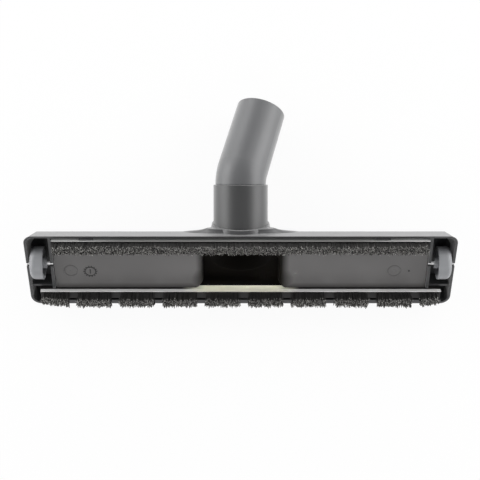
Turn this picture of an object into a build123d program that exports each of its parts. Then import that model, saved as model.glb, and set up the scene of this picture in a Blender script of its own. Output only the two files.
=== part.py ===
"""Wide floor nozzle with two brush strips, two wheels and a swivel elbow, lying on its back.

Every piece is drawn with the suction mouth facing up: X runs along the nozzle, Y towards the neck,
Z out of the mouth, and Z = 0 is the mouth's rim. The last section lays the nozzle down on its nose
and on the elbow's end, the way it comes to rest on a table.
"""
import os
from math import asin, cos, radians, sin, sqrt, tan

from build123d import *

# Housing: one moulding with slanted walls and rounded edges
body_length = 360.0
body_depth = 72.2
body_height = 20.0
wall = 1.8
end_narrowing = 1.0
front_corner_radius = 8.5
rim_corner_radius = 7.0
back_corner_radius = 32.0
rear_draft = 22.0
front_draft = 10.0
end_draft = 5.0
rim_clear = 5.0
rim_lip = 2.4
rim_lip_depth = 2.0
rear_radius = 10.0
nose_radius = 8.0
end_radius = 6.0

# Neck: a hood on the housing that carries a collar
neck_angle = 34.0
neck_drop = 7.5
lip_height = 3.0
lip_wall = 1.2
glue_gap = 0.05
hood_half_width = 58.0
hood_half_depth = 26.0
duct_half_width = 38.0
duct_half_depth = 24.0
hood_centre = 0.1
hood_level = 6.0
hood_flare = 3.2
hood_flare_start = 1.0
hood_reach = 23.0
saddle_level = 15.5
saddle_sections = (
    (-3.0, 60.0, 8.0),
    (0.0, 48.0, 7.0),
    (0.9, 38.0, 6.5),
    (1.9, 32.0, 6.0),
    (3.4, 27.5, 5.5),
)

# Collar, with a groove inside for the elbow's snap ring
collar_diameter = 46.0
collar_top = 40.4
collar_spigot_wall = 1.3
collar_spigot_depth = 6.0
collar_rim_radius = 0.6

# Swivel elbow: a spigot in the collar, a short bend and a tapered socket for the wand
wand_bore = 36.4
elbow_wall = 3.2
elbow_end_wall = 2.8
bend_angle = 31.0
bend_radius = 24.0
socket_length = 59.0
swivel_turn = 31.5
spigot_length = 24.0
swivel_clearance = 0.1
shoulder_gap = 0.3
socket_chamfer = 1.0
elbow_edge_radius = 0.8

# Snap ring that holds the spigot in the collar
ring_width = 2.4
ring_thickness = 1.8
ring_depth_in_spigot = 0.9
ring_split = 3.0
ring_height = 5.0
ring_play = 0.3

# Wheels and axles
wheel_radius = 14.0
wheel_width = 11.2
wheel_shoulder = 4.6
wheel_y = 6.1
wheel_drop = 3.0
wheel_end_gap = 3.9
wheel_recess = 2.6
wheel_rim = 3.0
hub_radius = 4.8
hub_length = 2.4
axle_radius = 2.0
axle_clearance = 0.1
axle_seat_clearance = 0.02
axle_mouth = 3.4
axle_end_gap = 1.2

# Bay walls and ribs inside the housing
bay_width = 22.8
bay_wall = 2.4
rib = 2.0
seat_rib_count = 3
seat_rib_margin = 7.2
lug_width = 12.0
lug_rise = 0.4
lug_depth = 4.0
lug_shares = (-0.71, 0.655)

# Brush strips: a steel angle, a carrier bar and the bristles
strip_seat = 5.0
rail_thickness = 0.8
front_rail_rise = 2.8
rear_rail_rise = 1.9
carrier_width = 7.0
carrier_rise = 2.2
front_strip_inset = 11.5
rear_strip_inset = 8.3
front_strip_end_gap = 10.0
strip_gap = 0.4
bristle_root = 5.4
root_depth = 4.0
root_gap = 0.1
bristle_tip = 7.4
front_bristle_rise = 13.3
rear_bristle_rise = 9.8
tuft_count = 10
tuft_pitch_count = 9.366
tuft_share = 0.744
tuft_shift_share = 0.083
tuft_splay = 0.8
strip_end_margin = 2.0
end_trim = 3.5
end_trim_run = 14.0

# Sole plate with the suction throat
plate_drop = 2.0
plate_thickness = 2.2
plate_gap = 0.2
throat_half_width = 32.0
throat_rear = 13.6
throat_corner = 7.0
throat_flare = 7.0
throat_flare_radius = 10.0
throat_lip_depth = 6.0
throat_lip_wall = 8.0
throat_roll = ((0.0, 6.0), (0.5, 2.2), (2.0, 0.8), (8.2, 0.0))
rib_opening = 44.0

# How finely the rest angle is solved
solve_steps = 60

# Worked out from the sizes above
half_length = body_length / 2
half_depth = body_depth / 2
floor = -body_height + wall
socket_radius = collar_diameter / 2
spigot_radius = socket_radius - lip_wall
collar_bore = spigot_radius - collar_spigot_wall
elbow_radius = wand_bore / 2 + elbow_wall
elbow_spigot_radius = collar_bore - swivel_clearance
bay_wall_inner = half_length - bay_width
seat_rib_pitch = (bay_wall_inner - seat_rib_margin) / seat_rib_count
front_strip_y = front_strip_inset - half_depth
rear_strip_y = half_depth - rear_strip_inset
front_strip_length = 2 * (half_length - front_strip_end_gap)
tuft_pitch = front_strip_length / tuft_pitch_count
tuft_width = tuft_share * tuft_pitch
tuft_shift = tuft_shift_share * tuft_pitch


def slope(angle):
    """Sideways run of a wall per millimetre of height."""
    return tan(radians(angle))


def rear_corner(level):
    """Radius of the rear corners, small at the rim and larger towards the back."""
    share = -level / body_height
    return rim_corner_radius + share * (back_corner_radius - rim_corner_radius)


def housing_form(inset, top):
    """Solid block of the housing, drawn in by inset on every side, from height top downwards."""
    rise = top + wall
    end_rise = rise * slope(end_draft)
    end_fall = body_height * slope(end_draft)
    with BuildPart() as form:
        for level in (0, -body_height):
            with BuildSketch(Plane.XY.offset(level)):
                Polygon(
                    (-half_length, half_depth),
                    (-half_length + end_narrowing, -half_depth),
                    (half_length - end_narrowing, -half_depth),
                    (half_length, half_depth),
                    align=None,
                )
                if inset:
                    offset(amount=-inset, kind=Kind.INTERSECTION)
                fillet(vertices().group_by(Axis.Y)[0], radius=front_corner_radius - inset)
                fillet(vertices().group_by(Axis.Y)[-1], radius=rear_corner(level) - inset)
        loft(ruled=True)
        if top:
            extrude(form.faces().sort_by(Axis.Z)[-1], amount=top)
        with BuildSketch(Plane.YZ):
            Polygon(
                (-half_depth - rise * slope(front_draft), rise),
                (-half_depth + body_height * slope(front_draft), -body_height),
                (half_depth - body_height * slope(rear_draft), -body_height),
                (half_depth + rise * slope(rear_draft), rise),
                align=None,
            )
            if inset:
                offset(amount=-inset, kind=Kind.INTERSECTION)
            low = vertices().group_by(Axis.Y)[0].sort_by(Axis.X)
            fillet(low[0], radius=nose_radius - inset)
            low = vertices().group_by(Axis.Y)[0].sort_by(Axis.X)
            fillet(low[-1], radius=rear_radius - inset)
        extrude(amount=body_length, both=True, mode=Mode.INTERSECT)
        with BuildSketch(Plane.XZ):
            Polygon(
                (-half_length - end_rise, rise),
                (-half_length + end_fall, -body_height),
                (half_length - end_fall, -body_height),
                (half_length + end_rise, rise),
                align=None,
            )
            if inset:
                offset(amount=-inset, kind=Kind.INTERSECTION)
            fillet(vertices().group_by(Axis.Y)[0], radius=end_radius - inset)
        extrude(amount=body_depth, both=True, mode=Mode.INTERSECT)
    return form.part


# The neck's own plane: its normal runs along the neck, its y axis points away from the mouth
neck_axis = Vector(0, cos(radians(neck_angle)), -sin(radians(neck_angle)))
neck_outward = Vector(0, -sin(radians(neck_angle)), -cos(radians(neck_angle)))
wall_foot = Vector(0, half_depth - neck_drop * slope(rear_draft), -neck_drop)
neck = Plane(origin=wall_foot + neck_outward * socket_radius, x_dir=(1, 0, 0), z_dir=neck_axis)

# The lip that ends the hood lies parallel to the slanted rear wall
rear_normal = Vector(0, cos(radians(rear_draft)), -sin(radians(rear_draft)))
lip = Plane(origin=Vector(0, half_depth, 0) + rear_normal * lip_height, x_dir=(1, 0, 0), z_dir=rear_normal)

# The hood's foot lies inside the housing's block
hood_foot = Plane(origin=(0, hood_centre, -hood_level), x_dir=(1, 0, 0), z_dir=(0, 0, -1))


def hood_form():
    """Hood that runs from the housing's back up to the neck and flares in to the collar."""
    with BuildPart() as form:
        with BuildSketch(hood_foot):
            Ellipse(hood_half_width, hood_half_depth)
        with BuildSketch(neck.offset(hood_flare_start)):
            Circle(socket_radius + hood_flare)
        with BuildSketch(neck.offset(hood_reach)):
            Circle(socket_radius)
        loft()
    return form.part


def saddle_form():
    """Low saddle on the rear wall that leads the hood's flanks out into the wall."""
    with BuildPart() as form:
        for height, half_width, half_rise in saddle_sections:
            with BuildSketch(lip.offset(height - lip_height)):
                with Locations((0, saddle_level)):
                    Ellipse(half_width, half_rise)
        loft()
    return form.part


def duct_form():
    """Air duct under the hood, from the housing's hollow up to the collar's spigot."""
    with BuildPart() as form:
        with BuildSketch(hood_foot):
            Ellipse(duct_half_width, duct_half_depth)
        with BuildSketch(neck.offset(-collar_spigot_depth)):
            Circle(collar_bore)
        loft()
    return form.part


# Housing
block = housing_form(0, 0)
hollow = housing_form(wall, rim_clear)
hood = hood_form()
saddle = saddle_form()
duct = duct_form()

plate_under = -plate_drop - plate_thickness
front_rail_y = front_strip_y + carrier_width / 2 + rail_thickness
rear_rail_y = rear_strip_y + carrier_width / 2 + rail_thickness
front_rib_y = front_rail_y + plate_gap + rib / 2
rear_rib_y = rear_strip_y - carrier_width / 2 - plate_gap - rib / 2
front_seat_width = front_rib_y + half_depth
rear_seat_width = half_depth - rear_rib_y
seat_ribs = [side * (i + 1) * seat_rib_pitch for side in (-1, 1) for i in range(seat_rib_count)]
rib_run = bay_wall_inner - rib_opening

with BuildPart() as inner_ribs:
    with BuildSketch(Plane.XY.offset(-body_height)):
        for side in (-1, 1):
            with Locations((side * (rib_opening + rib_run / 2), rear_rib_y)):
                Rectangle(rib_run, rib)
            with Locations((side * (rib_opening + (half_length - rib_opening) / 2), front_rib_y)):
                Rectangle(half_length - rib_opening, rib)
    extrude(amount=body_height + plate_under)
    with BuildSketch(Plane.XY.offset(-body_height)):
        for x in seat_ribs:
            with Locations((x, -half_depth + front_seat_width / 2)):
                Rectangle(rib, front_seat_width)
            with Locations((x, half_depth - rear_seat_width / 2)):
                Rectangle(rib, rear_seat_width)
    extrude(amount=body_height - strip_seat)
    with BuildSketch(Plane.XY.offset(-body_height)):
        bay_depth = half_depth - front_rib_y
        for side in (-1, 1):
            with Locations((side * (bay_wall_inner + bay_wall / 2), half_depth - bay_depth / 2)):
                Rectangle(bay_wall, bay_depth)
    extrude(amount=body_height)
    add(block, mode=Mode.INTERSECT)

with BuildPart() as housing:
    add(block)
    add(hood)
    add(saddle)
    split(bisect_by=lip, keep=Keep.BOTTOM)
    split(bisect_by=Plane.XY, keep=Keep.BOTTOM)
    add(hollow, mode=Mode.SUBTRACT)
    add(duct, mode=Mode.SUBTRACT)
    with BuildSketch(neck.offset(-collar_spigot_depth)):
        Circle(spigot_radius + glue_gap)
    extrude(amount=collar_top, mode=Mode.SUBTRACT)
    add(inner_ribs.part)
    with BuildSketch(Plane.XY.offset(-rim_lip_depth)):
        with Locations((0, -half_depth + wall / 2 + rim_lip / 2)):
            Rectangle(body_length - 2 * front_corner_radius, rim_lip + wall / 2)
    extrude(amount=rim_lip_depth)
    with BuildSketch(Plane.XY.offset(-lug_depth)):
        lug_run = half_depth - wall / 2 - lug_depth * slope(rear_draft) - rear_rail_y
        for share in lug_shares:
            with Locations((share * half_length, rear_rail_y + lug_run / 2)):
                Rectangle(lug_width, lug_run)
    extrude(amount=lug_depth + lug_rise)
    with BuildSketch(Plane.YZ.offset(bay_wall_inner - rib)):
        with Locations((wheel_y, -wheel_drop)):
            Circle(axle_radius + axle_seat_clearance)
        with Locations((wheel_y, 0)):
            Rectangle(axle_mouth, 2 * wheel_drop)
    axle_notch = extrude(amount=half_length, mode=Mode.SUBTRACT)
    mirror(axle_notch, about=Plane.YZ, mode=Mode.SUBTRACT)

# Sole plate, with a throat whose edges roll down towards the duct
plate_half_length = bay_wall_inner - strip_gap
plate_front = front_rail_y + plate_gap
plate_rear = rear_strip_y - carrier_width / 2 - plate_gap


def throat_outline(inset):
    """Outline of the throat, straight at the sides and flared out at the plate's front edge."""
    side = throat_half_width + inset
    swing = asin(throat_flare / throat_flare_radius)
    flare_top = plate_front + throat_flare
    flare = []
    for a in (swing, swing / 2, 0):
        flare.append((side + throat_flare_radius * (1 - cos(a)), flare_top - throat_flare_radius * sin(a)))
    with BuildLine() as outline:
        Line((0, plate_front), flare[0])
        ThreePointArc(*flare)
        Polyline(flare[2], (side, throat_rear + inset), (0, throat_rear + inset))
        mirror(about=Plane.YZ)
    return outline


with BuildPart() as sole_plate:
    with BuildSketch(Plane.XY.offset(plate_under)):
        with Locations((0, (plate_front + plate_rear) / 2)):
            Rectangle(2 * plate_half_length, plate_rear - plate_front)
    extrude(amount=plate_thickness)
    with BuildSketch(Plane.XY.offset(plate_under - throat_lip_depth)):
        add(throat_outline(throat_lip_wall).line)
        make_face()
        fillet(vertices().group_by(Axis.Y)[-1], radius=throat_corner + throat_lip_wall)
    extrude(amount=throat_lip_depth)
    for depth, inset in throat_roll:
        with BuildSketch(Plane.XY.offset(-plate_drop - depth)):
            add(throat_outline(inset).line)
            make_face()
            fillet(vertices().group_by(Axis.Y)[-1], radius=throat_corner + inset)
    loft(mode=Mode.SUBTRACT)

# Neck collar
spigot_end = collar_top - spigot_length
ring_foot = spigot_end + ring_height
ring_inner = elbow_spigot_radius - ring_depth_in_spigot
ring_outer = ring_inner + ring_thickness

with BuildPart() as neck_collar:
    with BuildSketch(neck.offset(-collar_spigot_depth)):
        Circle(socket_radius)
    extrude(amount=collar_top + collar_spigot_depth)
    split(bisect_by=lip, keep=Keep.TOP)
    fillet(neck_collar.edges().sort_by(Axis(neck.origin, neck_axis))[-1], radius=collar_rim_radius)
    with BuildSketch(neck.offset(-collar_spigot_depth)):
        Circle(spigot_radius)
    extrude(amount=collar_top)
    with BuildSketch(neck.offset(-collar_spigot_depth)):
        Circle(collar_bore)
    extrude(amount=collar_top + collar_spigot_depth, mode=Mode.SUBTRACT)
    with BuildSketch(neck.offset(ring_foot)):
        Circle(ring_outer + glue_gap)
    extrude(amount=ring_width + glue_gap, mode=Mode.SUBTRACT)

# Snap ring, split so that it can be sprung open
with BuildPart() as snap_ring:
    with BuildSketch(neck.offset(ring_foot)):
        Circle(ring_outer)
        Circle(ring_inner + ring_play, mode=Mode.SUBTRACT)
        with Locations((0, -ring_outer)):
            Rectangle(ring_split, 2 * ring_outer, mode=Mode.SUBTRACT)
    extrude(amount=ring_width)

# Swivel elbow
shoulder = collar_top + shoulder_gap
turn = radians(swivel_turn)
bend = radians(bend_angle)
bend_side = neck_outward * cos(turn) + Vector(1, 0, 0) * sin(turn)
bend_start = neck.origin + neck_axis * shoulder
bend_axis = Axis(bend_start + bend_side * bend_radius, neck_axis.cross(bend_side))
socket_axis = neck_axis * cos(bend) + bend_side * sin(bend)
socket_foot = bend_start + bend_side * bend_radius * (1 - cos(bend)) + neck_axis * bend_radius * sin(bend)
socket = Plane(origin=socket_foot, x_dir=bend_side.cross(neck_axis), z_dir=socket_axis)
socket_end = socket.offset(socket_length)

with BuildPart() as swivel_elbow:
    with BuildSketch(neck.offset(spigot_end)):
        Circle(elbow_spigot_radius)
    extrude(amount=shoulder - spigot_end)
    with BuildSketch(neck.offset(ring_foot - ring_play)):
        Circle(elbow_spigot_radius + ring_play)
        Circle(ring_inner, mode=Mode.SUBTRACT)
    extrude(amount=ring_width + 2 * ring_play, mode=Mode.SUBTRACT)
    with BuildSketch(neck.offset(shoulder)):
        Circle(elbow_radius)
    revolve(axis=bend_axis, revolution_arc=bend_angle)
    with BuildSketch(socket):
        Circle(elbow_radius)
    with BuildSketch(socket_end):
        Circle(wand_bore / 2 + elbow_end_wall)
    loft()
    outer_end = swivel_elbow.edges().sort_by(Axis(socket_foot, socket_axis))[-1]
    fillet(outer_end, radius=elbow_edge_radius)
    with BuildSketch(neck.offset(spigot_end)):
        Circle(wand_bore / 2)
    extrude(amount=shoulder - spigot_end, mode=Mode.SUBTRACT)
    with BuildSketch(neck.offset(shoulder)):
        Circle(wand_bore / 2)
    revolve(axis=bend_axis, revolution_arc=bend_angle, mode=Mode.SUBTRACT)
    with BuildSketch(socket):
        Circle(wand_bore / 2)
    extrude(amount=socket_length, mode=Mode.SUBTRACT)
    with BuildSketch(socket_end):
        Circle(wand_bore / 2 + socket_chamfer)
    with BuildSketch(socket_end.offset(-socket_chamfer)):
        Circle(wand_bore / 2)
    loft(mode=Mode.SUBTRACT)


def make_wheel(side):
    """Wheel with a rounded outer shoulder, a recessed inner face and a hub."""
    face = half_length - wheel_end_gap
    inner = face - wheel_width
    shoulder_foot = wheel_radius - wheel_shoulder
    with BuildPart() as wheel:
        with BuildSketch(Plane(origin=(0, wheel_y, -wheel_drop), x_dir=(side, 0, 0), z_dir=(0, -side, 0))):
            with BuildLine():
                Polyline(
                    (face, shoulder_foot),
                    (face, axle_radius + axle_clearance),
                    (inner - hub_length, axle_radius + axle_clearance),
                    (inner - hub_length, hub_radius),
                    (inner + wheel_recess, hub_radius),
                    (inner + wheel_recess, wheel_radius - wheel_rim),
                    (inner, wheel_radius - wheel_rim),
                    (inner, wheel_radius),
                    (face - wheel_shoulder, wheel_radius),
                )
                RadiusArc((face - wheel_shoulder, wheel_radius), (face, shoulder_foot), wheel_shoulder)
            make_face()
        revolve(axis=Axis((0, wheel_y, -wheel_drop), (1, 0, 0)))
    return wheel


def make_axle(side):
    """Steel pin across a wheel bay, held in the notches of the bay wall and the end wall."""
    length = half_length - axle_end_gap - bay_wall_inner
    with BuildPart() as axle:
        with BuildSketch(Plane.YZ.offset(side * (bay_wall_inner + length / 2))):
            with Locations((wheel_y, -wheel_drop)):
                Circle(axle_radius)
        extrude(amount=length / 2, both=True)
    return axle


left_wheel = make_wheel(-1)
right_wheel = make_wheel(1)
left_axle = make_axle(-1)
right_axle = make_axle(1)


def make_rail(strip_y, length, rise):
    """Steel angle: a standing leaf behind the bristles and a flange under the carrier."""
    foot = strip_y - carrier_width / 2
    back = strip_y + carrier_width / 2 + rail_thickness
    with BuildPart() as rail:
        with BuildSketch(Plane.YZ):
            Polygon(
                (foot, -strip_seat),
                (back, -strip_seat),
                (back, rise),
                (back - rail_thickness, rise),
                (back - rail_thickness, -strip_seat + rail_thickness),
                (foot, -strip_seat + rail_thickness),
                align=None,
            )
        extrude(amount=length / 2, both=True)
    return rail


def make_carrier(strip_y, length, spans):
    """Bar on the steel angle, with a pocket for each span of bristles."""
    foot = -strip_seat + rail_thickness
    with BuildPart() as carrier:
        with BuildSketch(Plane.XY.offset(foot)):
            with Locations((0, strip_y)):
                Rectangle(length, carrier_width)
        extrude(amount=carrier_rise - foot)
        with BuildSketch(Plane.XY.offset(carrier_rise - root_depth)):
            for start, end in spans:
                with Locations(((start + end) / 2, strip_y)):
                    Rectangle(end - start + 2 * root_gap, bristle_root + 2 * root_gap)
        extrude(amount=root_depth, mode=Mode.SUBTRACT)
    return carrier


def make_bristles(strip_y, start, end, rise, trim_side=0):
    """Bundle of bristles: a straight root in its pocket that spreads towards the tips.

    A trim side of -1 or 1 cuts the tips at that end on a slant.
    """
    centre = ((start + end) / 2, strip_y)
    with BuildPart() as bundle:
        with BuildSketch(Plane.XY.offset(carrier_rise - root_depth)):
            with Locations(centre):
                Rectangle(end - start, bristle_root)
        extrude(amount=root_depth)
        with BuildSketch(Plane.XY.offset(carrier_rise)):
            with Locations(centre):
                Rectangle(end - start, bristle_root)
        with BuildSketch(Plane.XY.offset(rise)):
            with Locations(centre):
                Rectangle(end - start + 2 * tuft_splay, bristle_tip)
        loft()
        if trim_side:
            outer = tuft_splay + (end if trim_side > 0 else -start)
            with BuildSketch(Plane.XZ.offset(-strip_y)):
                Polygon(
                    (trim_side * (outer - end_trim_run), rise),
                    (trim_side * outer, rise),
                    (trim_side * outer, rise - end_trim),
                    align=None,
                )
            extrude(amount=bristle_tip, both=True, mode=Mode.SUBTRACT)
    return bundle


# Brush strips
rear_strip_length = 2 * (bay_wall_inner - strip_gap)
front_limit = front_strip_length / 2 - strip_end_margin
rear_limit = rear_strip_length / 2 - strip_end_margin
front_spans = []
for i in range(tuft_count):
    tuft_centre = tuft_shift + (i - (tuft_count - 1) / 2) * tuft_pitch
    start = max(-front_limit, tuft_centre - tuft_width / 2)
    end = min(front_limit, tuft_centre + tuft_width / 2)
    front_spans.append((start, end))

front_strip_rail = make_rail(front_strip_y, front_strip_length, front_rail_rise)
front_strip_carrier = make_carrier(front_strip_y, front_strip_length, front_spans)
rear_strip_rail = make_rail(rear_strip_y, rear_strip_length, rear_rail_rise)
rear_strip_carrier = make_carrier(rear_strip_y, rear_strip_length, [(-rear_limit, rear_limit)])
rear_bristles = make_bristles(rear_strip_y, -rear_limit, rear_limit, rear_bristle_rise)

pieces = {
    "housing": housing,
    "sole_plate": sole_plate,
    "neck_collar": neck_collar,
    "snap_ring": snap_ring,
    "swivel_elbow": swivel_elbow,
    "left_wheel": left_wheel,
    "right_wheel": right_wheel,
    "left_axle": left_axle,
    "right_axle": right_axle,
    "front_strip_rail": front_strip_rail,
    "front_strip_carrier": front_strip_carrier,
    "rear_strip_rail": rear_strip_rail,
    "rear_strip_carrier": rear_strip_carrier,
    "rear_bristles": rear_bristles,
}
for number, (start, end) in enumerate(front_spans, 1):
    trim = {1: -1, tuft_count: 1}.get(number, 0)
    tuft = make_bristles(front_strip_y, start, end, front_bristle_rise, trim)
    pieces[f"front_tuft_{number:02d}"] = tuft


# Rest: the nozzle tips back until its nose and the elbow's end rim touch the table together
nose_z = nose_radius - body_height
nose_y = -half_depth - nose_z * slope(front_draft) + nose_radius / cos(radians(front_draft))
end_radius_outer = wand_bore / 2 + elbow_end_wall


def overhang(angle):
    """How much lower the elbow's end lies than the nose when tipped back by angle degrees."""
    down = Vector(0, -sin(radians(angle)), -cos(radians(angle)))
    nose = Vector(0, nose_y, nose_z).dot(down) + nose_radius
    reach = sqrt(1 - socket_axis.dot(down) ** 2)
    return socket_end.origin.dot(down) + end_radius_outer * reach - nose


low_angle, high_angle = 0.0, 90.0
for _ in range(solve_steps):
    lie_angle = (low_angle + high_angle) / 2
    if overhang(lie_angle) > 0:
        low_angle = lie_angle
    else:
        high_angle = lie_angle

tipped = Location((0, 0, 0), (lie_angle, 0, 0))
for piece in pieces.values():
    piece.part.move(tipped)
extent = Compound([piece.part for piece in pieces.values()]).bounding_box()
settle = Location((-extent.center().X, -extent.center().Y, -extent.min.Z))

os.makedirs("parts", exist_ok=True)
for name, piece in pieces.items():
    piece.part.move(settle)
    piece.part.label = name
    export_step(piece.part, f"parts/{name}.step")
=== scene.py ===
"""Looks of a wide floor nozzle that lies on its back: moulded plastic, plated strips, bristles and stage."""
import math

import bpy
from bpy.props import FloatProperty, FloatVectorProperty, IntProperty, PointerProperty
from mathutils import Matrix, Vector


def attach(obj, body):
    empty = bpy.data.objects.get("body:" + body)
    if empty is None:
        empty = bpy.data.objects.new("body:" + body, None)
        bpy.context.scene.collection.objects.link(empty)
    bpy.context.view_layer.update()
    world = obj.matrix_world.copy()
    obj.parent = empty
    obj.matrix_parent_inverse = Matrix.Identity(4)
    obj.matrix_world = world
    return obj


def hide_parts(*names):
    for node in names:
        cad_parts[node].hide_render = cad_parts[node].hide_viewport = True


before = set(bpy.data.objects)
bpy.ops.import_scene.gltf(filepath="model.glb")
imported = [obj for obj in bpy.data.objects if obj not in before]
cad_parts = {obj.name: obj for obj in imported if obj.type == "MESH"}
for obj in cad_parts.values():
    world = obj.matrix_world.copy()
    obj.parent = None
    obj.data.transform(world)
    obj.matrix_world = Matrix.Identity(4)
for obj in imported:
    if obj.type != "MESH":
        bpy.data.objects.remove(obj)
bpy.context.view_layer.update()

bl_info = {
    "name": "Floor Nozzle Looks",
    "version": (1, 0, 0),
    "blender": (4, 5, 0),
    "location": "View3D > Sidebar > Nozzle",
    "description": "Finishes, bristles, moulded marks and stage for a wide floor nozzle",
    "category": "Object",
}

NOZZLE_BODY = "housing"
ALONG = Vector((1, 0, 0))


def face_direction(node):
    """Direction in which the largest upward face of a CAD node looks."""
    faces = [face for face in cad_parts[node].data.polygons if face.normal.z > 0]
    return max(faces, key=lambda face: face.area).normal.normalized()


def extent(points, direction):
    """Lowest and highest reach of points along a direction."""
    reach = [point.dot(direction) for point in points]
    return min(reach), max(reach)


def node_points(node):
    """Places of a CAD node's vertices."""
    return [vertex.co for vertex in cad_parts[node].data.vertices]


# The nozzle's own directions: out of the mouth, and across it towards the neck
MOUTH = face_direction("sole_plate")
ACROSS = MOUTH.cross(ALONG)
SOLE_LEVEL = extent(node_points("sole_plate"), MOUTH)[1]
SOLE_FRONT, SOLE_REAR = extent(node_points("sole_plate"), ACROSS)
RIM_LEVEL = extent(node_points("left_axle"), MOUTH)[1]
FRONT_TUFTS = sorted(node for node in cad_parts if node.startswith("front_tuft"))

# Depth of the grain on plain plastic, and on the smoother skin of the housing, collar and elbow
GRAIN_DEPTH = 0.000006
SKIN_GRAIN_DEPTH = 0.000003

# Share by which clouds change the plastic's colour, and step by which they change its roughness
MOTTLE = 0.1
GLOSS_STEP = 0.03

# Part of a noise's range that is stretched to the full range
CLOUD_RANGE = (0.2, 0.8)
STREAK_RANGE = (0.3, 0.7)
SPANGLE_RANGE = (0.35, 0.65)

# Drawing streaks of the plated strips: sizes, shares of the colour and steps in roughness
STREAK_LENGTH = 0.03
STREAK_WIDTH = 0.0006
STREAK_DEPTH = 0.00002
STREAK_SHADES = (0.86, 1.06)
STREAK_GLOSS = (-0.06, 0.08)

# Spangle of the plating: width, share of the colour and how much of it shows
SPANGLE_WIDTH = 0.006
SPANGLE_SHADE = 0.8
SPANGLE_SHARE = 0.25

# Heights above the sole of the painted shade in the gap at the front strip's foot, and how far the edge that
# gets painted shade looks out of the mouth
FOOT_SHADE_HEIGHTS = (0.0021, 0.0017)
SHADED_EDGE_FACING = (0.5, 0.8)

# Power that keeps pale bristles few, and heights at which the painted shade of the roots gives way to the
# tip's colour
PALE_POWER = 2.2
TIP_RISE = (0.9, 1.0)

# Slack in finding a bundle's foot and outer edges, and share of its height above which its crown starts
FOOT_SLACK = 1e-5
EDGE_SLACK = 1e-4
CROWN_START = 0.5

# Each random quality of a bristle has its own draw
LEAN_DRAW = 1
LENGTH_DRAW = 2
TINT_DRAW = 3
BEND_DRAW = 4

# A ring without teeth still needs this many points to be a circle
FEWEST_TEETH = 3


class NozzleFinish(bpy.types.PropertyGroup):
    """Colours and surface of the nozzle's finishes."""

    housing_colour: FloatVectorProperty(
        name="Housing", description="Charcoal of the housing, and of the darker collar",
        subtype="COLOR", size=4, min=0, max=1, default=(0.04, 0.041, 0.043, 1))
    collar_shade: FloatProperty(
        name="Collar shade", description="Share of the housing's colour that the collar has",
        subtype="FACTOR", min=0, max=1, default=0.5)
    elbow_colour: FloatVectorProperty(
        name="Elbow", description="Lighter charcoal of the swivel elbow",
        subtype="COLOR", size=4, min=0, max=1, default=(0.086, 0.088, 0.092, 1))
    sole_colour: FloatVectorProperty(
        name="Sole", description="Slightly warmer charcoal of the sole plate",
        subtype="COLOR", size=4, min=0, max=1, default=(0.152, 0.148, 0.147, 1))
    wheel_colour: FloatVectorProperty(
        name="Wheels", description="Cool grey of the wheels",
        subtype="COLOR", size=4, min=0, max=1, default=(0.27, 0.276, 0.288, 1))
    carrier_colour: FloatVectorProperty(
        name="Carriers", description="Black of the bars that hold the bristles",
        subtype="COLOR", size=4, min=0, max=1, default=(0.012, 0.011, 0.011, 1))
    ring_colour: FloatVectorProperty(
        name="Snap ring", description="Natural waxy plastic of the ring inside the collar",
        subtype="COLOR", size=4, min=0, max=1, default=(0.55, 0.53, 0.48, 1))
    zinc_colour: FloatVectorProperty(
        name="Zinc", description="Plated steel of the strips",
        subtype="COLOR", size=4, min=0, max=1, default=(0.98, 0.975, 0.955, 1))
    # The rear strip is darker along its middle
    rear_middle_colour: FloatVectorProperty(
        name="Darker middle", description="Darker grey along the middle of the rear strip",
        subtype="COLOR", size=4, min=0, max=1, default=(0.45, 0.45, 0.44, 1))
    cream_colour: FloatVectorProperty(
        name="Cream", description="Warmer tint of the strip in front of the throat",
        subtype="COLOR", size=4, min=0, max=1, default=(0.98, 0.96, 0.8, 1))
    axle_colour: FloatVectorProperty(
        name="Axles", description="Drawn steel of the wheel axles",
        subtype="COLOR", size=4, min=0, max=1, default=(0.78, 0.78, 0.78, 1))
    sheen: FloatProperty(
        name="Sheen", description="Soft brightening of the moulded skin at a low angle",
        subtype="FACTOR", min=0, max=1, default=0.8)
    coat: FloatProperty(
        name="Coat", description="Gloss of the moulded skin on the housing, the collar and the elbow",
        subtype="FACTOR", min=0, max=1, default=0.9)
    edge_radius: FloatProperty(
        name="Soft edge", description="Radius by which moulded edges catch the light",
        subtype="DISTANCE", unit="LENGTH", min=0, default=0.0005)
    grain_size: FloatProperty(
        name="Grain", description="Width of the fine grain on moulded plastic",
        subtype="DISTANCE", unit="LENGTH", min=0, default=0.0007)
    mottle_size: FloatProperty(
        name="Mottle", description="Width of the soft clouds in the plastic's colour and gloss",
        subtype="DISTANCE", unit="LENGTH", min=0, default=0.035)


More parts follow.
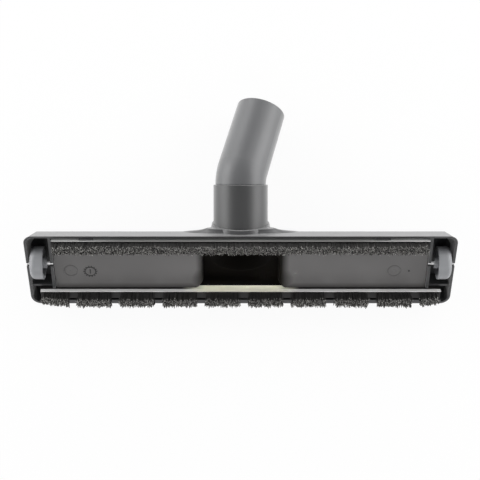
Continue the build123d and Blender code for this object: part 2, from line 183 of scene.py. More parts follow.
class NozzleThroat(bpy.types.PropertyGroup):
    """Painted shade: unlit black inside the suction throat, and soft painted shade around it and behind the
    front strip on the sole.
    """

    # Painted shade: this near black stands in for the unlit inside of the throat
    colour: FloatVectorProperty(
        name="Throat", description="Near black of the unlit moulding inside the suction throat",
        subtype="COLOR", size=4, min=0, max=1, default=(0.006, 0.005, 0.004, 1))
    facing: FloatVectorProperty(
        name="Facing", description="How far walls look out of the mouth where the black starts and is full",
        size=2, min=-1, max=1, default=(-0.35, 0.05))
    depth: FloatVectorProperty(
        name="Depth", description="Depths under the axles' tops at which the black starts and is full",
        unit="LENGTH", size=2, default=(0.004, 0.009))
    reach: FloatVectorProperty(
        name="Reach", description="Distances from the nozzle's middle at which the black starts and is full",
        unit="LENGTH", size=2, default=(0.062, 0.045))
    rear_fade: FloatProperty(
        name="Rear fade", description="Width over which the black ends behind the sole",
        subtype="DISTANCE", unit="LENGTH", min=0, default=0.002)
    # Painted shade on the sole, fading out beside the throat
    shade_shift: FloatProperty(
        name="Shade shift", description="How far the shade on the sole lies to the right of the middle",
        subtype="DISTANCE", unit="LENGTH", default=0.0016)
    shade_start: FloatProperty(
        name="Shade start", description="Half width at which the shade on the sole starts to fade",
        subtype="DISTANCE", unit="LENGTH", min=0, default=0.0328)
    shade_ends: FloatVectorProperty(
        name="Shade ends", description="Half widths at which the shade ends, at the rear and at the front",
        unit="LENGTH", size=2, default=(0.0395, 0.0435))
    shade_bend: FloatVectorProperty(
        name="Shade bend", description="Places across the mouth between which the shade widens",
        unit="LENGTH", size=2, default=(-0.019, -0.027))
    # Painted shade on the sole right behind the front strip
    front_band: FloatVectorProperty(
        name="Front band", description="Places across the mouth between which the front shade grows",
        unit="LENGTH", size=2, default=(-0.0325, -0.037))
    front_share: FloatProperty(
        name="Front shade", description="Share of black on the sole right behind the front strip",
        subtype="FACTOR", min=0, max=1, default=0.55)


class NozzleBristles(bpy.types.PropertyGroup):
    """Sizes of the single bristles in both brush strips."""

    density: FloatProperty(
        name="Density", description="Bristles on a square metre of strip", min=0, default=4.6e6)
    root_radius: FloatProperty(
        name="Root radius", description="Radius of a bristle where it leaves its carrier",
        subtype="DISTANCE", unit="LENGTH", min=0, default=0.0003)
    tip_radius: FloatProperty(
        name="Tip radius", description="Radius of a bristle at its cut tip",
        subtype="DISTANCE", unit="LENGTH", min=0, default=0.00027)
    length_spread: FloatProperty(
        name="Uneven tips", description="Share of the length by which bristles are shorter at random",
        subtype="FACTOR", min=0, max=1, default=0.1)
    stray: FloatProperty(
        name="Stray lean", description="Sideways lean of single bristles, as a share of their length",
        subtype="FACTOR", min=0, max=1, default=0.09)
    curl: FloatProperty(
        name="Curl", description="How far a bristle's tip bends aside",
        subtype="DISTANCE", unit="LENGTH", min=0, default=0.0007)
    front_flare: FloatProperty(
        name="Front flare", description="How far the front bristles' tips splay past the mouth's front edge",
        subtype="DISTANCE", unit="LENGTH", min=0, default=0.0016)
    # Painted shade for the dark between the bristles, up to near their tips
    root_shade_colour: FloatVectorProperty(
        name="Roots", description="Colour deep between the bristles",
        subtype="COLOR", size=4, min=0, max=1, default=(0.046, 0.045, 0.044, 1))
    dark_colour: FloatVectorProperty(
        name="Dark bristles", description="Colour of the darkest bristles",
        subtype="COLOR", size=4, min=0, max=1, default=(0.075, 0.073, 0.071, 1))
    pale_colour: FloatVectorProperty(
        name="Pale bristles", description="Colour of the palest bristles",
        subtype="COLOR", size=4, min=0, max=1, default=(0.64, 0.63, 0.6, 1))
    seed: IntProperty(
        name="Seed", description="Fixed start for everything random in the bristles", default=7)


class NozzleMarks(bpy.types.PropertyGroup):
    """Plain moulded rings on the sole plate, darker than the sole as painted shade of their lines."""

    dial_radius: FloatProperty(
        name="Dial radius", description="Radius of the toothed ring",
        subtype="DISTANCE", unit="LENGTH", min=0, default=0.0045)
    ring_radius: FloatProperty(
        name="Ring radius", description="Radius of a plain ring",
        subtype="DISTANCE", unit="LENGTH", min=0, default=0.0054)
    line_width: FloatProperty(
        name="Line width", description="Width of a moulded line",
        subtype="DISTANCE", unit="LENGTH", min=0, default=0.0008)
    relief: FloatProperty(
        name="Relief", description="Height of a moulded line above the sole",
        subtype="DISTANCE", unit="LENGTH", min=0, default=0.00025)
    dial_place: FloatVectorProperty(
        name="Dial place", description="Place of the toothed ring along and across the sole",
        subtype="XYZ", unit="LENGTH", size=2, default=(-0.1268, -0.0045))
    left_ring_place: FloatVectorProperty(
        name="Left ring place", description="Place of the left plain ring along and across the sole",
        subtype="XYZ", unit="LENGTH", size=2, default=(-0.1432, -0.0036))
    right_ring_place: FloatVectorProperty(
        name="Right ring place", description="Place of the right plain ring along and across the sole",
        subtype="XYZ", unit="LENGTH", size=2, default=(0.1295, -0.004))
    dot_place: FloatVectorProperty(
        name="Dot place", description="Place of the small dot along and across the sole",
        subtype="XYZ", unit="LENGTH", size=2, default=(0.1419, -0.004))
    dot_radius: FloatProperty(
        name="Dot radius", description="Radius of the small dot",
        subtype="DISTANCE", unit="LENGTH", min=0, default=0.0004)
    tooth_length: FloatProperty(
        name="Tooth length", description="How far a tooth stands out of its ring",
        subtype="DISTANCE", unit="LENGTH", min=0, default=0.0014)
    tooth_count: IntProperty(
        name="Teeth", description="Teeth around the toothed ring", min=0, default=14)
    # Painted shade: the marks are darker than the sole to stand for the shade of their moulded lines
    dark_shade: FloatProperty(
        name="Dark marks", description="Share of the sole's colour in the toothed ring and the dot",
        subtype="FACTOR", min=0, max=1, default=0.3)
    faint_shade: FloatProperty(
        name="Faint marks", description="Share of the sole's colour in the plain rings",
        subtype="FACTOR", min=0, max=1, default=0.86)


class NozzleStage(bpy.types.PropertyGroup):
    """Camera and floor."""

    elevation: FloatProperty(
        name="Elevation", description="Camera height above the horizon",
        subtype="ANGLE", unit="ROTATION", default=math.radians(83.16))
    distance: FloatProperty(
        name="Distance", description="Camera distance from its target",
        subtype="DISTANCE", unit="LENGTH", min=0, default=1.1)
    lens: FloatProperty(
        name="Lens", description="Focal length in millimetres", min=1, default=97.35)
    sensor: FloatProperty(
        name="Sensor", description="Width of the camera's sensor in millimetres", min=1, default=36.0)
    target: FloatVectorProperty(
        name="Target", description="Point that the camera looks at",
        subtype="XYZ", unit="LENGTH", size=3, default=(-0.00053, -0.03283, 0.03))
    floor_half: FloatProperty(
        name="Floor reach", description="Half width of the floor",
        subtype="DISTANCE", unit="LENGTH", min=0, default=4.0)
    floor_colour: FloatVectorProperty(
        name="Floor", description="Pale floor under the nozzle",
        subtype="COLOR", size=4, min=0, max=1, default=(0.9, 0.9, 0.9, 1))
    shadow_share: FloatProperty(
        name="Shadow", description="Share of the floor's own light and shadow in its colour",
        subtype="FACTOR", min=0, max=1, default=0.07)


GROUPS = {
    "nozzle_finish": NozzleFinish,
    "nozzle_throat": NozzleThroat,
    "nozzle_bristles": NozzleBristles,
    "nozzle_marks": NozzleMarks,
    "nozzle_stage": NozzleStage,
}


class Sheet:
    """A node tree with short ways to add and join its nodes."""

    def feed(self, socket, value):
        """Sets a socket's value, or joins another node's socket to it."""
        if isinstance(value, bpy.types.NodeSocket):
            self.tree.links.new(value, socket)
        else:
            socket.default_value = value

    def add(self, kind, inputs=None, **settings):
        """New node with its settings; an input takes a value or another node's socket."""
        node = self.tree.nodes.new(kind)
        for name, value in settings.items():
            setattr(node, name, value)
        for key, value in (inputs or {}).items():
            self.feed(node.inputs[key], value)
        return node

    def maths(self, operation, *values):
        """Result of one operation on numbers."""
        return self.add("ShaderNodeMath", dict(enumerate(values)), operation=operation).outputs[0]


class NodeSheet(Sheet):
    """A material's or world's node tree."""

    def __init__(self, owner):
        owner.use_nodes = True
        self.tree = owner.node_tree
        self.tree.nodes.clear()

    def noise(self, place, width, detail):
        """Noise whose clouds are about the given width across."""
        inputs = {"Vector": place, "Scale": 1 / width, "Detail": detail, "Roughness": 0.5}
        return self.add("ShaderNodeTexNoise", inputs).outputs["Fac"]

    def ramp(self, value, low, high, to_low=0.0, to_high=1.0):
        """Value stretched from one range to another, held at the ends."""
        inputs = {"Value": value, "From Min": low, "From Max": high, "To Min": to_low, "To Max": to_high}
        return self.add("ShaderNodeMapRange", inputs).outputs["Result"]

    def mix(self, share, first, second):
        """Two colours mixed by a share."""
        node = self.add("ShaderNodeMix", data_type="RGBA", blend_type="MIX")
        for socket, value in zip((node.inputs[0], node.inputs[6], node.inputs[7]), (share, first, second)):
            self.feed(socket, value)
        return node.outputs[2]

    def dot(self, vector, direction):
        """Reach of a vector along a fixed direction."""
        inputs = {0: vector, 1: tuple(direction)}
        return self.add("ShaderNodeVectorMath", inputs, operation="DOT_PRODUCT").outputs["Value"]

    def place(self):
        """Place of the shaded point on its piece."""
        return self.add("ShaderNodeTexCoord").outputs["Object"]

    def facing(self, direction):
        """How far the surface looks in a direction."""
        return self.dot(self.add("ShaderNodeNewGeometry").outputs["True Normal"], direction)

    def surface(self, shader):
        """Closes the tree with its output."""
        self.add("ShaderNodeOutputMaterial", {"Surface": shader.outputs[0]})


def scaled(colour, share):
    """Colour made lighter or darker by a share."""
    return tuple(min(1.0, part * share) for part in colour[:3]) + (1.0,)


def throat_black(sheet, place, throat, shaded):
    """Share of painted shade in unlit black: full deep inside the throat and, on a shaded piece, fading out
    around it and growing behind the front strip.
    """
    lengthwise = sheet.dot(place, ALONG)
    crosswise = sheet.dot(place, ACROSS)
    black = sheet.ramp(sheet.facing(MOUTH), *throat.facing)
    limits = (
        sheet.ramp(sheet.dot(place, MOUTH), *(RIM_LEVEL - depth for depth in throat.depth)),
        sheet.ramp(sheet.maths("ABSOLUTE", lengthwise), *throat.reach),
        sheet.ramp(crosswise, SOLE_REAR + throat.rear_fade, SOLE_REAR),
    )
    for limit in limits:
        black = sheet.maths("MULTIPLY", black, limit)
    # Painted shade on the sole beside the throat and behind the front strip
    if shaded:
        aside = sheet.maths("ABSOLUTE", sheet.maths("SUBTRACT", lengthwise, throat.shade_shift))
        shade_end = sheet.ramp(crosswise, *throat.shade_bend, *throat.shade_ends)
        beside = sheet.ramp(aside, throat.shade_start, shade_end, 1.0, 0.0)
        before = sheet.ramp(crosswise, *throat.front_band, 0.0, throat.front_share)
        black = sheet.maths("MAXIMUM", black, sheet.maths("MAXIMUM", beside, before))
    return black


def moulded_plastic(name, colour, roughness, finish, grain=GRAIN_DEPTH, throat=None, shaded=False,
                    sheen=0.0, coat=0.0):
    """Moulded plastic: soft clouds in colour and gloss, fine grain, edges that catch the light."""
    material = bpy.data.materials.new(name)
    sheet = NodeSheet(material)
    place = sheet.place()
    clouds = sheet.ramp(sheet.noise(place, finish.mottle_size, detail=1.5), *CLOUD_RANGE)
    shade = sheet.mix(clouds, scaled(colour, 1 - MOTTLE), scaled(colour, 1 + MOTTLE))
    gloss_clouds = sheet.noise(place, finish.mottle_size / 3, detail=1.0)
    gloss = sheet.ramp(gloss_clouds, *CLOUD_RANGE, roughness - GLOSS_STEP, roughness + GLOSS_STEP)
    soft_edge = sheet.add("ShaderNodeBevel", {"Radius": finish.edge_radius}, samples=8).outputs[0]
    fine = sheet.noise(place, finish.grain_size, detail=2.0)
    bump = sheet.add("ShaderNodeBump", {
        "Height": fine, "Distance": grain, "Strength": 0.6, "Normal": soft_edge}).outputs[0]
    shader = sheet.add("ShaderNodeBsdfPrincipled", {
        "Base Color": shade, "Roughness": gloss, "Normal": bump, "Sheen Weight": sheen,
        "Sheen Roughness": roughness, "Coat Weight": coat, "Coat Roughness": roughness})
    # Painted shade: a near black, dull shader takes over where the throat is unlit
    if throat is not None:
        dull = sheet.add("ShaderNodeBsdfPrincipled", {
            "Base Color": tuple(throat.colour), "Normal": bump, "Roughness": 0.6, "Specular IOR Level": 0.1})
        black = throat_black(sheet, place, throat, shaded)
        shader = sheet.add("ShaderNodeMixShader", {0: black, 1: shader.outputs[0], 2: dull.outputs[0]})
    sheet.surface(shader)
    return material


def plated_steel(name, colour, roughness, metallic, streak_length=STREAK_LENGTH, streak_width=STREAK_WIDTH,
                 middle_colour=None, middle_reach=(0.05, 0.03), foot_shade_colour=None, edge_shade_colour=None):
    """Drawn and plated steel with fine streaks along it, another tint of its middle, and painted shade on
    its foot and edge.
    """
    material = bpy.data.materials.new(name)
    sheet = NodeSheet(material)
    place = sheet.place()
    stretch = sheet.add("ShaderNodeMapping", {
        "Vector": place, "Scale": (1 / streak_length, 1 / streak_width, 1 / streak_width)})
    streaks = sheet.add("ShaderNodeTexNoise", {
        "Vector": stretch.outputs[0], "Scale": 1.0, "Detail": 4.0}).outputs["Fac"]
    spangle = sheet.noise(place, SPANGLE_WIDTH, detail=2.0)
    shades = (scaled(colour, share) for share in STREAK_SHADES)
    shade = sheet.mix(sheet.ramp(streaks, *STREAK_RANGE), *shades)
    flecks = sheet.ramp(spangle, *SPANGLE_RANGE, 0.0, SPANGLE_SHARE)
    shade = sheet.mix(flecks, shade, scaled(colour, SPANGLE_SHADE))
    # Painted shade in the gap at the strip's foot
    if foot_shade_colour is not None:
        foot = sheet.ramp(sheet.dot(place, MOUTH), *(SOLE_LEVEL + height for height in FOOT_SHADE_HEIGHTS))
        shade = sheet.mix(foot, shade, foot_shade_colour)
    if middle_colour is not None:
        middle = sheet.ramp(sheet.maths("ABSOLUTE", sheet.dot(place, ALONG)), *middle_reach)
        shade = sheet.mix(middle, shade, middle_colour)
    # Painted shade on the edge that looks out of the mouth
    if edge_shade_colour is not None:
        shade = sheet.mix(sheet.ramp(sheet.facing(MOUTH), *SHADED_EDGE_FACING), shade, edge_shade_colour)
    gloss = sheet.ramp(streaks, *STREAK_RANGE, *(roughness + step for step in STREAK_GLOSS))
    bump = sheet.add("ShaderNodeBump", {"Height": streaks, "Distance": STREAK_DEPTH, "Strength": 0.5})
    shader = sheet.add("ShaderNodeBsdfPrincipled", {
        "Base Color": shade, "Roughness": gloss, "Normal": bump.outputs[0], "Metallic": metallic})
    sheet.surface(shader)
    return material


def bristle_hair(name, bristles):
    """Stiff dark hair: painted shade from the root to near the tip, each bristle with its own grey there,
    and few of them pale.
    """
    material = bpy.data.materials.new(name)
    sheet = NodeSheet(material)
    tint = sheet.add("ShaderNodeAttribute", attribute_name="tint").outputs["Fac"]
    rise = sheet.add("ShaderNodeAttribute", attribute_name="rise").outputs["Fac"]
    uneven = sheet.maths("POWER", tint, PALE_POWER)
    hair = sheet.mix(uneven, tuple(bristles.dark_colour), tuple(bristles.pale_colour))
    # Painted shade below the tips, the bristle's own grey at the tip
    shade = sheet.mix(sheet.ramp(rise, *TIP_RISE), tuple(bristles.root_shade_colour), hair)
    shader = sheet.add("ShaderNodeBsdfPrincipled", {
        "Base Color": shade, "Roughness": 0.6, "Specular IOR Level": 0.15})
    sheet.surface(shader)
    return material


def dress(material, *nodes):
    """Gives CAD nodes a material."""
    for node in nodes:
        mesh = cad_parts[node].data
        mesh.materials.clear()
        mesh.materials.append(material)


def new_piece(name, mesh, body, slot, *replaced):
    """Puts a finished mesh into the scene, riding on a body in place of CAD nodes."""
    piece = bpy.data.objects.new(name, mesh)
    bpy.context.scene.collection.objects.link(piece)
    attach(piece, body)
    if replaced:
        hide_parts(*replaced)
    return piece


class NOZZLE_OT_mould_plastic(bpy.types.Operator):
    """Give the housing, collar, elbow, sole plate, wheels, carriers and snap ring their moulded plastic"""

    bl_idname = "nozzle.mould_plastic"
    bl_label = "Mould Plastic Pieces"

    def execute(self, context):
        finish = context.scene.nozzle_finish
        throat = context.scene.nozzle_throat
        skin = {"grain": SKIN_GRAIN_DEPTH, "sheen": finish.sheen, "coat": finish.coat}
        collar_colour = scaled(finish.housing_colour, finish.collar_shade)
        # Name, colour, roughness, extras and CAD nodes of each plastic
        plastics = (
            # The housing and the sole carry painted shade in and around the throat
            ("satin charcoal", finish.housing_colour, 0.34, {**skin, "throat": throat}, ["housing"]),
            ("neck charcoal", collar_colour, 0.42, skin, ["neck_collar"]),
            ("elbow charcoal", finish.elbow_colour, 0.42, skin, ["swivel_elbow"]),
            ("sole charcoal", finish.sole_colour, 0.34, {"throat": throat, "shaded": True}, ["sole_plate"]),
            ("wheel grey", finish.wheel_colour, 0.35, {}, ["left_wheel", "right_wheel"]),
            ("carrier black", finish.carrier_colour, 0.45, {},
             ["front_strip_carrier", "rear_strip_carrier"]),
            ("natural ring", finish.ring_colour, 0.5, {}, ["snap_ring"]),
        )
        for name, colour, roughness, extras, nodes in plastics:
            dress(moulded_plastic(name, colour, roughness, finish, **extras), *nodes)
        return {"FINISHED"}


class NOZZLE_OT_plate_steel(bpy.types.Operator):
    """Give the strips and axles their plated and drawn steel"""

    bl_idname = "nozzle.plate_steel"
    bl_label = "Plate Steel Pieces"

    def execute(self, context):
        finish = context.scene.nozzle_finish
        # The rear strip's edge that looks out of the mouth gets painted shade
        satin = plated_steel(
            "satin zinc", finish.zinc_colour, roughness=0.45, metallic=0.4,
            middle_colour=tuple(finish.rear_middle_colour), middle_reach=(0.14, 0.1),
            edge_shade_colour=tuple(finish.carrier_colour))
        dress(satin, "rear_strip_rail")
        # The front strip's foot gets painted shade
        pale = plated_steel(
            "pale zinc", finish.zinc_colour, roughness=0.5, metallic=0.0,
            middle_colour=tuple(finish.cream_colour), foot_shade_colour=tuple(finish.carrier_colour))
        dress(pale, "front_strip_rail")
        wire = plated_steel(
            "drawn steel", finish.axle_colour, roughness=0.35, metallic=1.0,
            streak_length=0.02, streak_width=0.0004)
        dress(wire, "left_axle", "right_axle")
        return {"FINISHED"}


def bristle_patch(name, nodes, flare):
    """Sheet of root rectangles, one for each bundle, that says how far its bristles spread and reach."""
    corners, faces, spread, reach = [], [], [], []
    for node in nodes:
        points = node_points(node)
        root, tip = extent(points, MOUTH)
        tall = tip - root
        foot = [point for point in points if point.dot(MOUTH) - root < FOOT_SLACK]
        crown = [point for point in points if point.dot(MOUTH) - root > CROWN_START * tall]
        (left, right), (front, rear) = extent(foot, ALONG), extent(foot, ACROSS)
        (crown_left, crown_right), (crown_front, crown_rear) = extent(crown, ALONG), extent(crown, ACROSS)
        first = len(corners)
        rectangle = (
            (left, front, crown_left, crown_front),
            (right, front, crown_right, crown_front),
            (right, rear, crown_right, crown_rear),
            (left, rear, crown_left, crown_rear),
        )
        for x, y, crown_x, crown_y in rectangle:
            outer = [point for point in points if abs(point.x - crown_x) < EDGE_SLACK]
            lean = (crown_y - y - flare) * ACROSS + ALONG * (crown_x - x)
            corners.append(ALONG * x + ACROSS * y + MOUTH * root)
            spread.append(lean / tall)
            reach.append(extent(outer, MOUTH)[1] - root)
        faces.append(list(range(first, len(corners))))
    mesh = bpy.data.meshes.new(name)
    mesh.from_pydata(corners, [], faces)
    leans = mesh.attributes.new("spread", "FLOAT_VECTOR", "POINT")
    leans.data.foreach_set("vector", [part for lean in spread for part in lean])
    lengths = mesh.attributes.new("reach", "FLOAT", "POINT")
    lengths.data.foreach_set("value", reach)
    return mesh


class FieldSheet(Sheet):
    """A Geometry Nodes tree with named inputs."""

    def __init__(self, name, inputs):
        self.tree = bpy.data.node_groups.new(name, "GeometryNodeTree")
        face = self.tree.interface
        face.new_socket("Geometry", in_out="INPUT", socket_type="NodeSocketGeometry")
        self.keys = {}
        for label, kind in inputs.items():
            self.keys[label] = face.new_socket(label, in_out="INPUT", socket_type=kind).identifier
        face.new_socket("Geometry", in_out="OUTPUT", socket_type="NodeSocketGeometry")
        self.given = self.tree.nodes.new("NodeGroupInput").outputs

    def named(self, name, kind):
        """Attribute read by its name."""
        return self.add("GeometryNodeInputNamedAttribute", {"Name": name}, data_type=kind).outputs[0]

    def position(self):
        """Place of each point."""
        return self.add("GeometryNodeInputPosition").outputs[0]

    def triple(self, **parts):
        """Vector put together from numbers along X, Y and Z."""
        return self.add("ShaderNodeCombineXYZ", parts).outputs[0]

    def plus(self, first, second):
        """Sum of two vectors."""
        return self.add("ShaderNodeVectorMath", {0: first, 1: second}, operation="ADD").outputs[0]

    def times(self, vector, number):
        """Vector made longer by a number."""
        inputs = {0: vector, "Scale": number}
        return self.add("ShaderNodeVectorMath", inputs, operation="SCALE").outputs[0]

    def scatter(self, draw):
        """Random vector for each bristle."""
        inputs = {0: (-1, -1, -1), 1: (1, 1, 1), "Seed": self.maths("ADD", self.given["Seed"], draw)}
        return self.add("FunctionNodeRandomValue", inputs, data_type="FLOAT_VECTOR").outputs[0]

    def chance(self, draw, low, high):
        """Random number for each bristle."""
        inputs = {2: low, 3: high, "Seed": self.maths("ADD", self.given["Seed"], draw)}
        return self.add("FunctionNodeRandomValue", inputs, data_type="FLOAT").outputs[1]

    def store(self, geometry, name, value, kind, domain):
        """Keeps a value on the geometry under a name."""
        inputs = {"Geometry": geometry, "Name": name, "Value": value}
        return self.add("GeometryNodeStoreNamedAttribute", inputs, data_type=kind, domain=domain).outputs[0]

    def close(self, geometry):
        """Ends the tree: realized instances that carry the material."""
        real = self.add("GeometryNodeRealizeInstances", {"Geometry": geometry})
        skin = self.add("GeometryNodeSetMaterial", {
            "Geometry": real.outputs[0], "Material": self.given["Material"]})
        self.add("NodeGroupOutput", {"Geometry": skin.outputs[0]})


def bristle_tree():
    """Tree that grows a bristle from each of many points on a sheet of root rectangles."""
    sheet = FieldSheet("grow bristles", {
        "Density": "NodeSocketFloat", "Root Radius": "NodeSocketFloat", "Tip Radius": "NodeSocketFloat",
        "Shortest": "NodeSocketFloat", "Stray": "NodeSocketFloat", "Curl": "NodeSocketFloat",
        "Seed": "NodeSocketInt", "Material": "NodeSocketMaterial"})
    given = sheet.given
    points = sheet.add("GeometryNodeDistributePointsOnFaces", {
        "Mesh": given["Geometry"], "Density": given["Density"], "Seed": given["Seed"]})
    stem = sheet.add("GeometryNodeMeshCone", {
        "Vertices": 4, "Side Segments": 2, "Fill Segments": 1, "Radius Bottom": given["Root Radius"],
        "Radius Top": given["Tip Radius"], "Depth": 1.0}, fill_type="NGON")
    height = sheet.add("ShaderNodeSeparateXYZ", {0: sheet.position()}).outputs["Z"]
    stem = sheet.store(stem.outputs["Mesh"], "rise", height, "FLOAT", "POINT")
    stray = sheet.times(sheet.scatter(LEAN_DRAW), given["Stray"])
    lean = sheet.plus(sheet.named("spread", "FLOAT_VECTOR"), stray)
    upright = sheet.plus(points.outputs["Normal"], lean)
    turn = sheet.add("FunctionNodeAlignRotationToVector", {"Vector": upright}, axis="Z")
    share = sheet.chance(LENGTH_DRAW, given["Shortest"], 1.0)
    length = sheet.maths("MULTIPLY", sheet.named("reach", "FLOAT"), share)
    grown = sheet.add("GeometryNodeInstanceOnPoints", {
        "Points": points.outputs["Points"], "Instance": stem, "Rotation": turn.outputs[0],
        "Scale": sheet.triple(X=1.0, Y=1.0, Z=length)})
    tint = sheet.chance(TINT_DRAW, 0.0, 1.0)
    grown = sheet.store(grown.outputs[0], "tint", tint, "FLOAT", "INSTANCE")
    grown = sheet.store(grown, "bend", sheet.scatter(BEND_DRAW), "FLOAT_VECTOR", "INSTANCE")
    real = sheet.add("GeometryNodeRealizeInstances", {"Geometry": grown})
    rise = sheet.named("rise", "FLOAT")
    amount = sheet.maths("MULTIPLY", sheet.maths("MULTIPLY", rise, rise), given["Curl"])
    bent = sheet.add("GeometryNodeSetPosition", {
        "Geometry": real.outputs[0], "Offset": sheet.times(sheet.named("bend", "FLOAT_VECTOR"), amount)})
    sheet.close(bent.outputs[0])
    return sheet


def node_mesh(name, base, sheet, values):
    """Plain mesh that a tree makes from a base mesh and named values."""
    carrier = bpy.data.objects.new(name + "_base", base)
    bpy.context.scene.collection.objects.link(carrier)
    modifier = carrier.modifiers.new(name, "NODES")
    modifier.node_group = sheet.tree
    for label, value in values.items():
        modifier[sheet.keys[label]] = value
    made = carrier.evaluated_get(bpy.context.evaluated_depsgraph_get())
    mesh = bpy.data.meshes.new_from_object(made)
    mesh.name = name
    bpy.data.objects.remove(carrier)
    return mesh


def grow_bristles(name, nodes, sheet, material, bristles, flare=0.0):
    """One mesh of bristles in place of plain CAD bundles."""
    values = {
        "Density": bristles.density, "Root Radius": bristles.root_radius, "Tip Radius": bristles.tip_radius,
        "Shortest": 1 - bristles.length_spread, "Stray": bristles.stray, "Curl": bristles.curl,
        "Seed": bristles.seed, "Material": material}
    mesh = node_mesh(name, bristle_patch(name, nodes, flare), sheet, values)
    new_piece(name, mesh, NOZZLE_BODY, "bristle", *nodes)


class NOZZLE_OT_grow_bristles(bpy.types.Operator):
    """Grow the rear row and the notched front row of bristles"""

    bl_idname = "nozzle.grow_bristles"
    bl_label = "Grow Bristles"

    def execute(self, context):
        bristles = context.scene.nozzle_bristles
        hair = bristle_hair("dark bristle", bristles)
        sheet = bristle_tree()
        grow_bristles("rear_bristle_row", ["rear_bristles"], sheet, hair, bristles)
        grow_bristles("front_bristle_tufts", FRONT_TUFTS, sheet, hair, bristles, bristles.front_flare)
        return {"FINISHED"}


def ring_tree():
    """Tree that moulds a ring with teeth and a pointer bar on the sole, half sunk into it."""
    sheet = FieldSheet("mould ring", {
        "Radius": "NodeSocketFloat", "Width": "NodeSocketFloat", "Relief": "NodeSocketFloat",
        "Teeth": "NodeSocketInt", "Tooth Length": "NodeSocketFloat", "Bar Length": "NodeSocketFloat",
        "Place": "NodeSocketVector", "Material": "NodeSocketMaterial"})
    given = sheet.given
    tall = sheet.maths("MULTIPLY", given["Relief"], 2.0)
    line = sheet.add("GeometryNodeCurvePrimitiveCircle", {"Resolution": 48, "Radius": given["Radius"]})
    section = sheet.add("GeometryNodeCurvePrimitiveQuadrilateral", {"Width": given["Width"], "Height": tall})
    band = sheet.add("GeometryNodeCurveToMesh", {
        "Curve": line.outputs[0], "Profile Curve": section.outputs[0]})
    spots = sheet.add("GeometryNodeMeshCircle", {"Vertices": given["Teeth"], "Radius": given["Radius"]})
    tooth = sheet.add("GeometryNodeMeshCube", {
        "Size": sheet.triple(X=given["Tooth Length"], Y=given["Width"], Z=tall)})
    outward = sheet.add("FunctionNodeAlignRotationToVector", {"Vector": sheet.position()}, axis="X")
    half_tooth = sheet.maths("MULTIPLY", given["Tooth Length"], 0.5)
    shifted = sheet.add("GeometryNodeTransform", {
        "Geometry": tooth.outputs[0], "Translation": sheet.triple(X=half_tooth)})
    teeth = sheet.add("GeometryNodeInstanceOnPoints", {
        "Points": spots.outputs[0], "Instance": shifted.outputs[0], "Rotation": outward.outputs[0]})
    teeth = sheet.add("GeometryNodeRealizeInstances", {"Geometry": teeth.outputs[0]})
    bar = sheet.add("GeometryNodeMeshCube", {
        "Size": sheet.triple(X=given["Width"], Y=given["Bar Length"], Z=tall)})
    joined = sheet.add("GeometryNodeJoinGeometry")
    for part in (bar, teeth, band):
        sheet.tree.links.new(part.outputs[0], joined.inputs[0])
    placed = sheet.add("GeometryNodeTransform", {
        "Geometry": joined.outputs[0], "Translation": given["Place"],
        "Rotation": MOUTH.to_track_quat("Z", "Y").to_euler()})
    sheet.close(placed.outputs[0])
    return sheet


class NOZZLE_OT_mould_marks(bpy.types.Operator):
    """Mould a toothed ring, plain rings and a dot on the sole plate"""

    bl_idname = "nozzle.mould_marks"
    bl_label = "Mould Sole Marks"

    def execute(self, context):
        marks = context.scene.nozzle_marks
        finish = context.scene.nozzle_finish
        # Painted shade: dark for the toothed ring and the dot, a little for the plain rings
        dark_colour = scaled(finish.sole_colour, marks.dark_shade)
        faint_colour = scaled(finish.sole_colour, marks.faint_shade)
        dark = moulded_plastic("mark in painted shade", dark_colour, roughness=0.45, finish=finish)
        faint = moulded_plastic("faint mark in painted shade", faint_colour, roughness=0.35, finish=finish)
        sheet = ring_tree()
        middle = (SOLE_FRONT + SOLE_REAR) / 2
        # Name, radius, teeth, tooth length, bar length, place and material of each mark
        rings = (
            ("sole_dial", marks.dial_radius, marks.tooth_count, marks.tooth_length, marks.dial_radius,
             marks.dial_place, dark),
            ("sole_ring_left", marks.ring_radius, FEWEST_TEETH, 0.0, 0.0, marks.left_ring_place, faint),
            ("sole_ring_right", marks.ring_radius, FEWEST_TEETH, 0.0, 0.0, marks.right_ring_place, faint),
            ("sole_dot", marks.dot_radius, FEWEST_TEETH, 0.0, 0.0, marks.dot_place, dark),
        )
        for name, radius, teeth, tooth, bar, place, skin in rings:
            spot = ALONG * place[0] + ACROSS * (middle + place[1]) + MOUTH * SOLE_LEVEL
            values = {
                "Radius": radius, "Width": marks.line_width, "Relief": marks.relief, "Teeth": teeth,
                "Tooth Length": tooth, "Bar Length": bar, "Place": tuple(spot), "Material": skin}
            mesh = node_mesh(name, bpy.data.meshes.new(name), sheet, values)
            new_piece(name, mesh, NOZZLE_BODY, "sole_plastic")
        return {"FINISHED"}


class NOZZLE_OT_set_stage(bpy.types.Operator):
    """Set the floor, the lamps and the camera"""

    bl_idname = "nozzle.set_stage"
    bl_label = "Set Stage"

    def execute(self, context):
        stage = context.scene.nozzle_stage
        context.scene.view_settings.view_transform = "Standard"
        set_floor(stage)
        set_world(context.scene)
        set_lamps()
        set_camera(context.scene, stage)
        return {"FINISHED"}


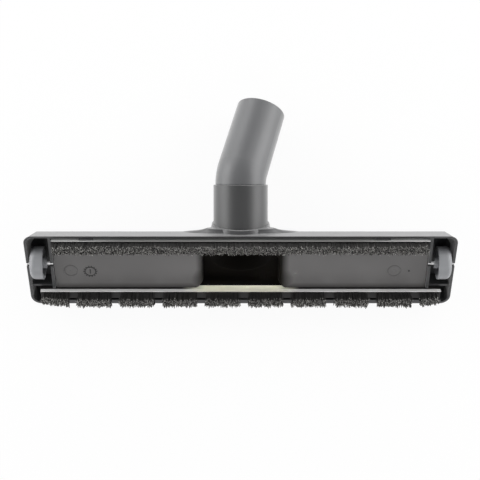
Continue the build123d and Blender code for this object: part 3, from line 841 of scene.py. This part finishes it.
def set_floor(stage):
    """Pale floor that shows white and keeps a faint shadow."""
    half = stage.floor_half
    mesh = bpy.data.meshes.new("floor")
    corners = [(-half, -half, 0), (half, -half, 0), (half, half, 0), (-half, half, 0)]
    mesh.from_pydata(corners, [], [(0, 1, 2, 3)])
    floor = bpy.data.objects.new("floor", mesh)
    bpy.context.scene.collection.objects.link(floor)
    material = bpy.data.materials.new("pale floor")
    sheet = NodeSheet(material)
    paper = sheet.add("ShaderNodeBsdfDiffuse", {"Color": tuple(stage.floor_colour)})
    glow = sheet.add("ShaderNodeEmission", {"Color": (1, 1, 1, 1), "Strength": 1.0})
    path = sheet.add("ShaderNodeLightPath")
    seen = sheet.maths("ADD", path.outputs["Is Camera Ray"], path.outputs["Is Glossy Ray"])
    seen = sheet.maths("MINIMUM", sheet.maths("ADD", seen, path.outputs["Is Transmission Ray"]), 1.0)
    share = sheet.maths("MULTIPLY", seen, 1 - stage.shadow_share)
    mixed = sheet.add("ShaderNodeMixShader", {0: share, 1: paper.outputs[0], 2: glow.outputs[0]})
    sheet.surface(mixed)
    mesh.materials.append(material)


def set_world(scene):
    """Room that is white near the horizon, and darker overhead and in front."""
    world = bpy.data.worlds.new("studio room")
    scene.world = world
    sheet = NodeSheet(world)
    place = sheet.add("ShaderNodeTexCoord").outputs["Generated"]
    up = sheet.dot(place, (0, 0, 1))
    back = sheet.dot(place, (0, 1, 0))
    overhead = sheet.ramp(up, low=0.1, high=0.6, to_low=1.0, to_high=0.42)
    front = sheet.ramp(back, low=-0.9, high=-0.3, to_low=0.5, to_high=1.0)
    level = sheet.maths("MULTIPLY", overhead, front)
    room = sheet.add("ShaderNodeBackground", {"Color": (1, 1, 1, 1), "Strength": level})
    sheet.add("ShaderNodeOutputWorld", {"Surface": room.outputs[0]})


def set_lamps():
    """Broad lamps behind the neck and in front, soft boxes at both ends, and a slit over the strip."""
    middle, strip = (0, -0.03, 0.02), (0, -0.067, 0.02)
    wide, narrow = math.pi, math.radians(1)
    # Name, place, aim, size, power and spread of each lamp
    lamps = (
        ("key_box", (0.0, 1.3, 0.3), middle, (1.8, 0.4), 5.0, wide),
        ("front_box", (0.0, -1.1, 0.9), middle, (1.6, 0.5), 3.5, wide),
        ("left_box", (-1.2, 0.05, 0.4), middle, (1.5, 1.0), 10.0, wide),
        ("right_box", (1.2, 0.05, 0.4), middle, (1.5, 1.0), 10.0, wide),
        ("left_rear_box", (-0.9, 0.75, 0.7), middle, (1.2, 0.8), 3.5, wide),
        ("right_rear_box", (0.9, 0.75, 0.7), middle, (1.2, 0.8), 3.5, wide),
        ("strip_slit", (0.0, -0.067, 1.12), strip, (0.09, 0.006), 0.003, narrow),
    )
    for name, spot, aim, size, power, spread in lamps:
        light = bpy.data.lights.new(name, "AREA")
        light.shape = "RECTANGLE"
        light.size, light.size_y = size
        light.energy = power
        light.spread = spread
        lamp = bpy.data.objects.new(name, light)
        lamp.location = spot
        lamp.rotation_euler = (Vector(aim) - Vector(spot)).to_track_quat("-Z", "Y").to_euler()
        # The slit lights the strip's colour and makes no highlights
        lamp.visible_glossy = spread == wide
        bpy.context.scene.collection.objects.link(lamp)


def set_camera(scene, stage):
    """Camera high above the mouth, a little to the front."""
    data = bpy.data.cameras.new("camera")
    data.lens = stage.lens
    data.sensor_width = stage.sensor
    camera = bpy.data.objects.new("camera", data)
    target = Vector(stage.target)
    back = Vector((0, -math.cos(stage.elevation), math.sin(stage.elevation)))
    camera.location = target + back * stage.distance
    camera.rotation_euler = back.to_track_quat("Z", "Y").to_euler()
    scene.collection.objects.link(camera)
    scene.camera = camera


OPERATORS = (
    NOZZLE_OT_mould_plastic,
    NOZZLE_OT_plate_steel,
    NOZZLE_OT_grow_bristles,
    NOZZLE_OT_mould_marks,
    NOZZLE_OT_set_stage,
)


class NOZZLE_PT_looks(bpy.types.Panel):
    """Sizes, colours and steps of the nozzle's looks"""

    bl_idname = "NOZZLE_PT_looks"
    bl_label = "Floor Nozzle"
    bl_space_type = "VIEW_3D"
    bl_region_type = "UI"
    bl_category = "Nozzle"

    def draw(self, context):
        layout = self.layout
        for name, group in GROUPS.items():
            box = layout.box()
            box.label(text=group.__doc__)
            values = getattr(context.scene, name)
            for key in group.__annotations__:
                box.prop(values, key)
        for operator in OPERATORS:
            layout.operator(operator.bl_idname)


CLASSES = (*GROUPS.values(), *OPERATORS, NOZZLE_PT_looks)


def register():
    for item in CLASSES:
        bpy.utils.register_class(item)
    for name, group in GROUPS.items():
        setattr(bpy.types.Scene, name, PointerProperty(type=group))


def unregister():
    for name in GROUPS:
        delattr(bpy.types.Scene, name)
    for item in reversed(CLASSES):
        bpy.utils.unregister_class(item)


def main():
    register()
    bpy.ops.nozzle.mould_plastic()
    bpy.ops.nozzle.plate_steel()
    bpy.ops.nozzle.grow_bristles()
    bpy.ops.nozzle.mould_marks()
    bpy.ops.nozzle.set_stage()


if __name__ == "__main__":
    main()
